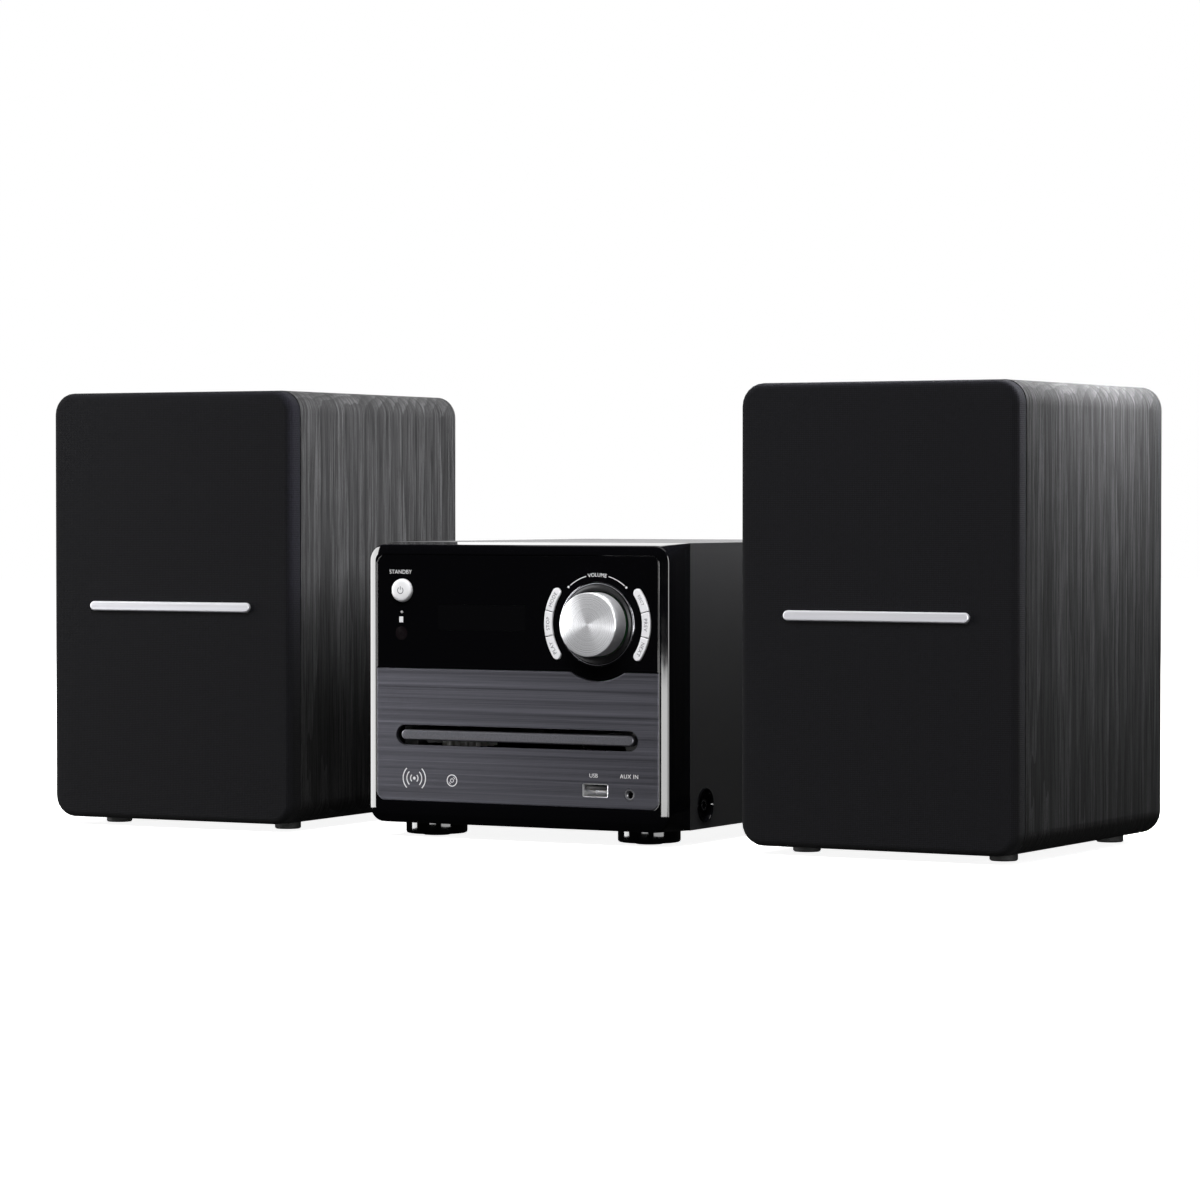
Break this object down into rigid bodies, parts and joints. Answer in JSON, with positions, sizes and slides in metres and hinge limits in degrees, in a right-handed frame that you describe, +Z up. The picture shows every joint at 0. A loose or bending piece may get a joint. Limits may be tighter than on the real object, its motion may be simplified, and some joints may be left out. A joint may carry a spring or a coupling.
{
  "type": "mini hifi system",
  "caption": "Compact disc-playing receiver with a volume knob, ring of buttons and sliding disc tray, between two box speakers with cloth grilles and bright trim bars.",
  "frame": {"origin": "middle of the whole set's footprint, on the surface it stands on", "axes": "+Z up, the front faces -Y, +X to the right as seen from the front, along the set's longest extent"},
  "size_m": [0.5352, 0.2382, 0.2177],
  "materials": {
    "cover_steel": "fine satin black paint on steel",
    "screw_steel": "black zinc",
    "gloss_black": "piano gloss",
    "fascia_black": "polished acrylic",
    "brushed_panel": "dark, brushed along its length",
    "smoked_window": "smoked clear plastic",
    "circuit_board": "solder mask",
    "black_moulding": "fine moulded texture",
    "metal_parts": "plated",
    "transformer_iron": "varnished laminations",
    "bright_metal": "bright plate",
    "spun_aluminium": "spun, fine rings",
    "button_white": "satin white",
    "tray_bar": "dark grey metallic",
    "white_acetal": "smooth",
    "black_ash": "black ash wrap with open grain",
    "baffle_board": "matt black paint on board",
    "painted_basket": "black",
    "paper_cone": "pressed paper",
    "ferrite": "ferrite",
    "rubber": "matt",
    "grille_cloth": "fine open weave",
    "bright_trim": "bright satin"
  },
  "bodies": {
    "main_unit": {"cover": "cover_steel", "base_plate": "cover_steel", "rear_panel": "cover_steel", "unit_screws": "screw_steel", "unit_feet": "gloss_black", "foot_pads": "rubber", "bezel": "gloss_black", "upper_fascia": "fascia_black", "lower_fascia": "brushed_panel", "display_window": "smoked_window", "knob_ring": "gloss_black", "encoder": "metal_parts", "control_board": "circuit_board", "loader_frame": "black_moulding", "spindle_motor": "metal_parts", "main_board": "circuit_board", "transformer": "transformer_iron", "usb_socket": "bright_metal", "aux_jack": "black_moulding", "headphone_jack": "gloss_black", "rear_sockets": "black_moulding", "mains_inlet": "black_moulding"},
    "volume_knob": {"knob_cap": "spun_aluminium", "knob_hub": "black_moulding"},
    "disc_tray": {"disc_tray": "black_moulding", "tray_front": "tray_bar"},
    "tray_pinion": {"tray_pinion": "white_acetal"},
    "turntable": {"turntable": "black_moulding"},
    "pickup_sled": {"pickup_sled": "black_moulding"},
    "standby_button": {"standby_button": "button_white"},
    "mode_button": {"mode_button": "button_white"},
    "stop_button": {"stop_button": "button_white"},
    "play_button": {"play_button": "button_white"},
    "eject_button": {"eject_button": "button_white"},
    "previous_button": {"previous_button": "button_white"},
    "next_button": {"next_button": "button_white"},
    "left_speaker": {"left_cabinet": "black_ash", "left_baffle": "baffle_board", "left_driver_basket": "painted_basket", "left_driver_cone": "paper_cone", "left_driver_magnet": "ferrite", "left_driver_screws": "screw_steel", "left_port_tube": "black_moulding", "left_lead_gland": "rubber", "left_feet": "rubber"},
    "left_grille": {"left_grille_frame": "black_moulding", "left_grille_cloth": "grille_cloth", "left_trim_bar": "bright_trim"},
    "right_speaker": {"right_cabinet": "black_ash", "right_baffle": "baffle_board", "right_driver_basket": "painted_basket", "right_driver_cone": "paper_cone", "right_driver_magnet": "ferrite", "right_driver_screws": "screw_steel", "right_port_tube": "black_moulding", "right_lead_gland": "rubber", "right_feet": "rubber"},
    "right_grille": {"right_grille_frame": "black_moulding", "right_grille_cloth": "grille_cloth", "right_trim_bar": "bright_trim"}
  },
  "joints": [
    {"name": "tray_slide", "type": "slide", "parent": "main_unit", "child": "disc_tray", "axis": [0, -1, 0], "range_m": [0, 0.13]},
    {"name": "pinion_turn", "type": "hinge", "parent": "main_unit", "child": "tray_pinion", "pos_m": [-0.038, -0.08588, 0.0479], "axis": [0, 0, 1], "range_deg": [0, 625]},
    {"name": "volume_turn", "type": "hinge", "parent": "main_unit", "child": "volume_knob", "pos_m": [0.0447, -0.10788, 0.105], "axis": [0, -1, 0], "continuous": true},
    {"name": "turntable_spin", "type": "hinge", "parent": "main_unit", "child": "turntable", "pos_m": [0, -0.03958, 0.0501], "axis": [0, 0, 1], "continuous": true},
    {"name": "pickup_slide", "type": "slide", "parent": "main_unit", "child": "pickup_sled", "axis": [0, 1, 0], "range_m": [0, 0.03]},
    {"name": "standby_press", "type": "slide", "parent": "main_unit", "child": "standby_button", "axis": [0, 1, 0], "range_m": [0, 0.0008], "stiffness_N_per_m": 1500},
    {"name": "mode_press", "type": "slide", "parent": "main_unit", "child": "mode_button", "axis": [0, 1, 0], "range_m": [0, 0.0008], "stiffness_N_per_m": 1500},
    {"name": "stop_press", "type": "slide", "parent": "main_unit", "child": "stop_button", "axis": [0, 1, 0], "range_m": [0, 0.0008], "stiffness_N_per_m": 1500},
    {"name": "play_press", "type": "slide", "parent": "main_unit", "child": "play_button", "axis": [0, 1, 0], "range_m": [0, 0.0008], "stiffness_N_per_m": 1500},
    {"name": "eject_press", "type": "slide", "parent": "main_unit", "child": "eject_button", "axis": [0, 1, 0], "range_m": [0, 0.0008], "stiffness_N_per_m": 1500},
    {"name": "previous_press", "type": "slide", "parent": "main_unit", "child": "previous_button", "axis": [0, 1, 0], "range_m": [0, 0.0008], "stiffness_N_per_m": 1500},
    {"name": "next_press", "type": "slide", "parent": "main_unit", "child": "next_button", "axis": [0, 1, 0], "range_m": [0, 0.0008], "stiffness_N_per_m": 1500},
    {"name": "left_speaker_shift", "type": "slide", "parent": "main_unit", "child": "left_speaker", "axis": [-1, 0, 0], "range_m": [0, 0.25]},
    {"name": "left_grille_pull", "type": "slide", "parent": "left_speaker", "child": "left_grille", "axis": [0.0262, -0.9997, 0], "range_m": [0, 0.03]},
    {"name": "right_speaker_shift", "type": "slide", "parent": "main_unit", "child": "right_speaker", "axis": [1, 0, 0], "range_m": [0, 0.25]},
    {"name": "right_grille_pull", "type": "slide", "parent": "right_speaker", "child": "right_grille", "axis": [-0.0262, -0.9997, 0], "range_m": [0, 0.03]}
  ],
  "couplings": [
    {"joint": "pinion_turn", "follows": "tray_slide", "rad_per_m": 83.333}
  ]
}
